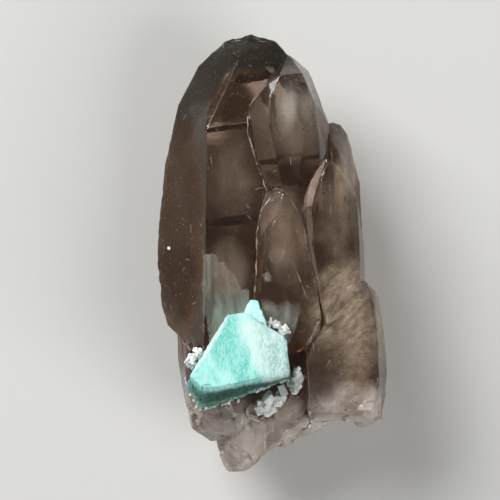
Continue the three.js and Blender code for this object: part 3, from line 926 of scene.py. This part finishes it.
@dataclass
class ChippedEdgesAndGlints:
    """The bright chipped edges on the front, partly painted glints, laid on the quartz."""

    colour: Colour = (0.40, 0.31, 0.25, 1.0)
    white: Colour = (0.88, 0.83, 0.77, 1.0)
    spacing: float = 0.16
    lift: float = 0.02
    wobble: float = 0.07
    parts: int = 3
    steepest: float = 1.2 * MM
    shards: Grains = Grains(5.0e6, 0.006 * MM, 0.035 * MM, 0.4, 1.6, 7)
    edges: dict[str, Edge] = field(default_factory=lambda: {
        "plate": Edge(0.13, 0.8, (
            (-0.77, 19.82), (-1.58, 18.89), (-2.55, 17.39), (-2.97, 15.3), (-2.87, 13.91), (-2.27, 12.06),
            (-1.72, 10.15), (-1.09, 8.47), (-0.65, 7.19), (-1.28, 5.34), (-1.85, 2.45), (-1.85, -0.57),
            (-2.04, -3.58), (-2.1, -5.32))),
        "sliver": Edge(0.08, 0.8, (
            (6.2, 11.04), (5.27, 9.53), (4.46, 7.79), (3.88, 5.93), (3.65, 3.84), (3.8, 1.4), (5.0, -3.6))),
        "centre": Edge(0.05, 0.5, ((-0.54, 7.07), (0.39, 7.65), (1.43, 7.19), (2.47, 5.68), (3.4, 3.72))),
        "crease": Edge(0.05, 0.7, ((2.24, -0.8), (3.16, -2.99), (3.97, -5.19))),
        "upper": Edge(0.05, 0.45, ((-7.6, 14.61), (-2.97, 15.3))),
        "slope": Edge(0.03, 0.1, ((-7.61, 16.61), (-4.13, 22.18))),
        "shell": Edge(0.14, 0.8, ((-11.2, -9.29), (-10.76, -10.1), (-9.85, -10.99), (-8.48, -12.19))),
        "shoulder": Edge(0.22, 0.8, ((10.59, -2.68), (11.17, -3.5), (11.52, -4.2), (11.87, -5.02))),
        "tip": Edge(0.1, 0.5, ((-4.75, 24.95), (-4.2, 25.05), (-3.6, 25.1))),
        "veil_side": Edge(0.05, 0.6, ((-8.06, 0.48), (-7.72, -5.31), (-7.25, -9.94))),
        "veil_top": Edge(0.05, 0.55, (
            (-8.06, 0.48), (-7.49, -0.1), (-6.33, -0.21), (-5.63, -0.91), (-4.7, -2.4), (-3.2, -4.4))),
        "fan": Edge(0.25, 0.45, ((5.71, -8.78), (7.21, -6.12), (8.95, -3.46), (10.34, -0.91))),
        "fan_left": Edge(0.18, 0.45, ((4.32, -7.39), (6.06, -5.31), (8.37, -2.99), (9.87, -1.84))),
        "cleft": Edge(0.1, 0.7, ((5.0, -3.6), (5.3, -4.8), (5.4, -7.5), (4.6, -9.2), (4.0, -10.2))),
        "wall": Edge(0.07, 0.7, ((3.97, -10.17), (3.97, -12.36), (4.21, -15.26), (4.28, -19.19))),
        "base_ridge": Edge(0.09, 0.8, ((-4.1, -18.6), (-1.14, -19.66), (-0.84, -21.14), (-1.0, -23.6)), True),
        "tongue_ridge": Edge(0.14, 0.9, ((-5.29, -22.14), (-3.8, -23.5), (-2.2, -24.7)), True),
        "splinters": Edge(
            0.18, 0.7, ((-1.2, -24.1), (2.9, -20.9), (6.3, -19.3), (8.2, -19.5), (11.0, -19.7)), True),
        "foot": Edge(0.12, 0.6, ((8.52, -17.58), (9.69, -17.35), (11.22, -17.11), (12.98, -16.88))),
    })

    def path(self, edge: Edge) -> list[Vector]:
        """Points at an even spacing along an edge."""
        result = []
        for (x0, y0), (x1, y1) in zip(edge.points, edge.points[1:]):
            count = max(1, round(math.hypot(x1 - x0, y1 - y0) / self.spacing))
            for index in range(count):
                share = index / count
                spot = Vector((x0 + (x1 - x0) * share, y0 + (y1 - y0) * share, 0.0))
                aside = noise.noise(spot * 1.7 + Vector((9, 9, 9)))
                result.append(spot + Vector((noise.noise(spot * 1.7), aside, 0.0)) * self.wobble)
        return result

    def ribbon(self, name: str, edge: Edge, surface: BVHTree) -> Object:
        """Lays one ribbon on the quartz.

        Args:
            name: the piece's name.
            edge: the edge.
            surface: the quartz's surface.

        Returns:
            The piece.
        """
        path = self.path(edge)
        mesh = bmesh.new()
        rows = []
        for index, spot in enumerate(path):
            ahead = path[min(index + 1, len(path) - 1)] - path[max(index - 1, 0)]
            side = Vector((-ahead.y, ahead.x, 0.0)).normalized()
            row = []
            for part in range(self.parts + 1):
                ragged = 0.5 + 0.9 * noise.noise(spot * 1.1 + Vector((part * 3.0, 0, 5)))
                flat = (spot + side * edge.width * (part / self.parts - 0.5) * 2.0 * ragged) * MM
                place = laid_on(surface, flat, self.lift)
                row.append(mesh.verts.new(place) if place else None)
            rows.append(row)
        for one, two in zip(rows, rows[1:]):
            for part in range(self.parts):
                corners = (one[part], two[part], two[part + 1], one[part + 1])
                heights = [corner.co.z for corner in corners if corner]
                if all(corners) and max(heights) - min(heights) < self.steepest:
                    mesh.faces.new(corners)
        bmesh.ops.recalc_face_normals(mesh, faces=mesh.faces)
        colour = self.white if edge.white else self.colour
        return as_piece(mesh, name, PaleSkinAndReflection(colour, edge.cover).material(name), smooth=False)

    def build(self, surface: BVHTree) -> None:
        """Builds every ribbon and its shards.

        Args:
            surface: the quartz's surface.
        """
        scatter = ScatterTree("edge_shards", WhiteDust().material(), keep=False)
        for name, edge in self.edges.items():
            ribbon = self.ribbon(name + "_edge", edge, surface)
            grains = replace(self.shards, density=self.shards.density * edge.cover)
            shards = scatter.grow(ribbon, name + "_shards", grains)
            if shards.data.polygons:
                settle(shards, Slot.ALBITE)
            else:
                bpy.data.objects.remove(shards)
            settle(ribbon, Slot.QUARTZ)


@dataclass
class Crumbs:
    """Sugary white crumbs along the lower rim of the amazonite."""

    rim: Edge = Edge(0.3, 1.0, (
        (-10.3, -14.4), (-9.6, -16.5), (-8.5, -18.15), (-5.8, -17.45), (-3.55, -16.75), (-2.3, -16.05),
        (-0.2, -15.25), (1.6, -14.4)))
    sizes: Grains = Grains(8.0e6, 0.03 * MM, 0.19 * MM, 0.7, 1.2, 9)

    def build(self, surface: BVHTree, material: Material) -> None:
        """Builds the crumbs.

        Args:
            surface: the surface of the quartz and the amazonite together.
            material: their finish.
        """
        strip = ChippedEdgesAndGlints().ribbon("rim_strip", self.rim, surface)
        tree = ScatterTree("rim_crumbs", material, keep=False)
        settle(tree.grow(strip, "amazonite_rim_crumbs", self.sizes), Slot.ALBITE)
        bpy.data.objects.remove(strip)


@dataclass(frozen=True)
class Facet:
    """A small flat area: its finish and its corners in millimetres."""

    finish: PaleSkinAndReflection
    corners: Outline


@dataclass
class SmallFacets:
    """Small pale facets and chipped spots on the front, laid on the quartz; the sliver and centre facets are painted
    reflections on left-facing side faces.
    """

    longest: float = 0.3
    lift: float = 0.015
    facets: dict[str, Facet] = field(default_factory=lambda: {
        # The sliver and centre facets paint the reflection of the upper-left light on the left-facing side faces of two
        # crystals.
        "sliver_facet": Facet(PaleSkinAndReflection((0.42, 0.30, 0.24, 1.0), 0.62, 0.75), (
            (6.21, 11.16), (5.64, 10.58), (5.06, 9.54), (4.25, 8.15), (3.67, 6.53), (3.5, 4.8), (3.91, 5.49),
            (4.48, 5.61), (4.94, 7.23), (5.41, 8.84), (5.87, 10.0))),
        "centre_facet": Facet(PaleSkinAndReflection((0.40, 0.28, 0.22, 1.0), 0.22, 0.6), (
            (-0.62, 7.2), (1.0, 7.3), (1.2, 6.2), (0.6, 4.9), (-1.3, 2.2), (-1.5, 4.6), (-1.1, 5.9))),
        "side_speck": Facet(PaleSkinAndReflection((0.85, 0.82, 0.75, 1.0), 1.0, 0.8), (
            (-12.4, 0.8), (-12.2, 0.92), (-12.02, 0.75), (-12.1, 0.5), (-12.35, 0.55))),
    })

    def drape(self, name: str, facet: Facet, surface: BVHTree) -> Object:
        """Lays one facet on the quartz.

        Args:
            name: the piece's name.
            facet: the facet.
            surface: the quartz's surface.

        Returns:
            The piece.
        """
        mesh = bmesh.new()
        mesh.faces.new([mesh.verts.new(Vector((x, y, 0.0))) for x, y in facet.corners])
        bmesh.ops.triangulate(mesh, faces=mesh.faces)
        split(mesh, lambda edge: self.longest, 5)
        missed = []
        for vertex in mesh.verts:
            spot = laid_on(surface, vertex.co * MM, self.lift)
            if spot:
                vertex.co = spot
            else:
                missed.append(vertex)
        bmesh.ops.delete(mesh, geom=missed, context="VERTS")
        bmesh.ops.recalc_face_normals(mesh, faces=mesh.faces)
        return as_piece(mesh, name, facet.finish.material(name))

    def build(self, surface: BVHTree) -> None:
        """Builds every facet on the quartz's surface."""
        for name, facet in self.facets.items():
            settle(self.drape(name, facet, surface), Slot.QUARTZ)


@dataclass(frozen=True)
class Sheet:
    """One healed crack: its height in millimetres, finish and outline."""

    height: float
    finish: HealedCrack
    outline: Outline


@dataclass
class HealedCracks:
    """Whitish sheets inside the quartz, round the foot of the amazonite."""

    longest: float = 0.45
    ragged: float = 0.22
    wave: float = 0.35
    slope: float = 0.1
    thickness: float = 0.04
    sheets: dict[str, Sheet] = field(default_factory=lambda: {
        "left_veil": Sheet(15.6, HealedCrack(0.8, 1.1), (
            (-8.2, 0.5), (-7.7, -0.1), (-7.0, 0.1), (-6.4, -0.3), (-6.1, -1.0), (-5.6, -0.9), (-5.0, -2.2),
            (-4.3, -2.7), (-3.6, -4.2), (-2.9, -4.0), (-2.3, -5.6), (-2.4, -9.0), (-7.3, -10.6), (-7.9, -5.5))),
        "right_veil": Sheet(17.1, HealedCrack(0.8, 1.35, (-4.8, -7.6)), (
            (-1.4, -5.2), (-0.6, -4.9), (0.4, -5.8), (1.6, -5.4), (3.4, -5.7), (3.0, -7.4), (2.0, -10.2),
            (0.6, -10.0), (-1.2, -8.4))),
        "small_veil": Sheet(17.3, HealedCrack(0.2, 0.4), (
            (-0.4, 0.5), (0.5, 0.7), (1.5, 0.5), (1.2, -0.7), (0.6, -1.1), (-0.2, -1.0), (-0.6, -0.2))),
        "tiny_veil": Sheet(17.2, HealedCrack(0.3, 0.55), (
            (-1.1, -2.3), (-0.6, -2.0), (0.0, -2.6), (-0.2, -3.2), (-0.9, -3.1))),
    })

    def build_sheet(self, name: str, sheet: Sheet) -> Object:
        """Makes one thin wavy sheet.

        Args:
            name: the piece's name.
            sheet: what it is like.

        Returns:
            The piece.
        """
        mesh = bmesh.new()
        face = mesh.faces.new([mesh.verts.new(Vector((x, y, sheet.height))) for x, y in sheet.outline])
        face.normal_update()
        if face.normal.z < 0:
            face.normal_flip()
        bmesh.ops.triangulate(mesh, faces=mesh.faces)
        split(mesh, lambda edge: self.longest, 4)
        for vertex in mesh.verts:
            rim = self.ragged * noise.noise(vertex.co * 2.3) if vertex.is_boundary else 0.0
            rise = self.wave * noise.noise(vertex.co * 0.5) + self.slope * (vertex.co.y + 5.0)
            vertex.co += Vector((rim, rim, rise))
        bmesh.ops.solidify(mesh, geom=mesh.faces, thickness=self.thickness)
        bmesh.ops.scale(mesh, vec=Vector((MM, MM, MM)), verts=mesh.verts)
        bmesh.ops.recalc_face_normals(mesh, faces=mesh.faces)
        return as_piece(mesh, name, sheet.finish.material(name))

    def build(self) -> None:
        """Builds every sheet."""
        for name, sheet in self.sheets.items():
            settle(self.build_sheet(name, sheet), Slot.QUARTZ)


@dataclass
class Studio:
    """The pale floor, the soft light and the camera."""

    photo_pixels: float = 500.0
    pixels_per_metre: float = 8400.0
    middle: Pair = (-2.62 * MM, 0.48 * MM)
    distance: float = 0.30
    depth: float = 8.5 * MM
    sensor: float = 36.0
    floor_half: float = 1.5
    air_gap: float = 0.06 * MM
    paint: Colour = (0.61, 0.605, 0.58, 1.0)
    sky: Colour = (0.93, 0.95, 1.0, 1.0)
    sky_strength: float = 0.16
    lamp_side: float = 0.5

    def floor(self) -> None:
        """Makes the floor."""
        half = self.floor_half
        data = bpy.data.meshes.new("floor")
        corners = [(x * half, y * half, -self.air_gap) for x, y in ((-1, -1), (1, -1), (1, 1), (-1, 1))]
        data.from_pydata(corners, [], [(0, 1, 2, 3)])
        s = Shader("floor")
        data.materials.append(s.output(s.glossy(Base_Color=self.paint, Roughness=0.8)))
        put("floor", data)

    def lamp(self, name: str, place: Sequence[float], power: float) -> None:
        """Adds one soft square lamp that faces the specimen.

        Args:
            name: the lamp's name.
            place: where it stands.
            power: watts.
        """
        data = bpy.data.lights.new(name, "AREA")
        data.shape = "SQUARE"
        data.size = self.lamp_side
        data.energy = power
        lamp = put(name, data)
        lamp.location = place
        lamp.rotation_euler = (-Vector(place)).to_track_quat("-Z", "Y").to_euler()

    def light(self) -> None:
        """Sets the world and the lamps."""
        world = bpy.data.worlds.new("studio")
        world.use_nodes = True
        background = world.node_tree.nodes["Background"]
        background.inputs["Color"].default_value = self.sky
        background.inputs["Strength"].default_value = self.sky_strength
        bpy.context.scene.world = world
        bpy.context.scene.view_settings.view_transform = "Standard"
        self.lamp("window", (-0.45, 0.5, 0.5), 9.3)
        self.lamp("fill", (0.5, -0.35, 0.5), 3.4)

    def camera(self) -> None:
        """Sets the camera, straight above the specimen as in the photo."""
        data = bpy.data.cameras.new("camera")
        data.sensor_width = self.sensor
        data.lens = self.sensor * self.distance / (self.photo_pixels / self.pixels_per_metre)
        camera = put("camera", data)
        camera.location = (*self.middle, self.depth + self.distance)
        bpy.context.scene.camera = camera

    def build(self) -> None:
        """Builds the whole studio."""
        self.floor()
        self.light()
        self.camera()


def main() -> None:
    """Builds the specimen and its studio in order."""
    logging.basicConfig(level=logging.INFO, format="%(name)s %(message)s")
    quartz = QuartzGroup().build()
    WhiteChips().build(quartz)
    surface = surface_of(quartz)
    ChippedEdgesAndGlints().build(surface)
    SmallFacets().build(surface)
    HealedCracks().build()
    amazonite = AmazoniteCrystal().build()
    Crumbs().build(surface_of(quartz, amazonite), WhiteFeldspar().material())
    AlbiteLumps().build()
    Studio().build()


if __name__ == "__main__":
    main()
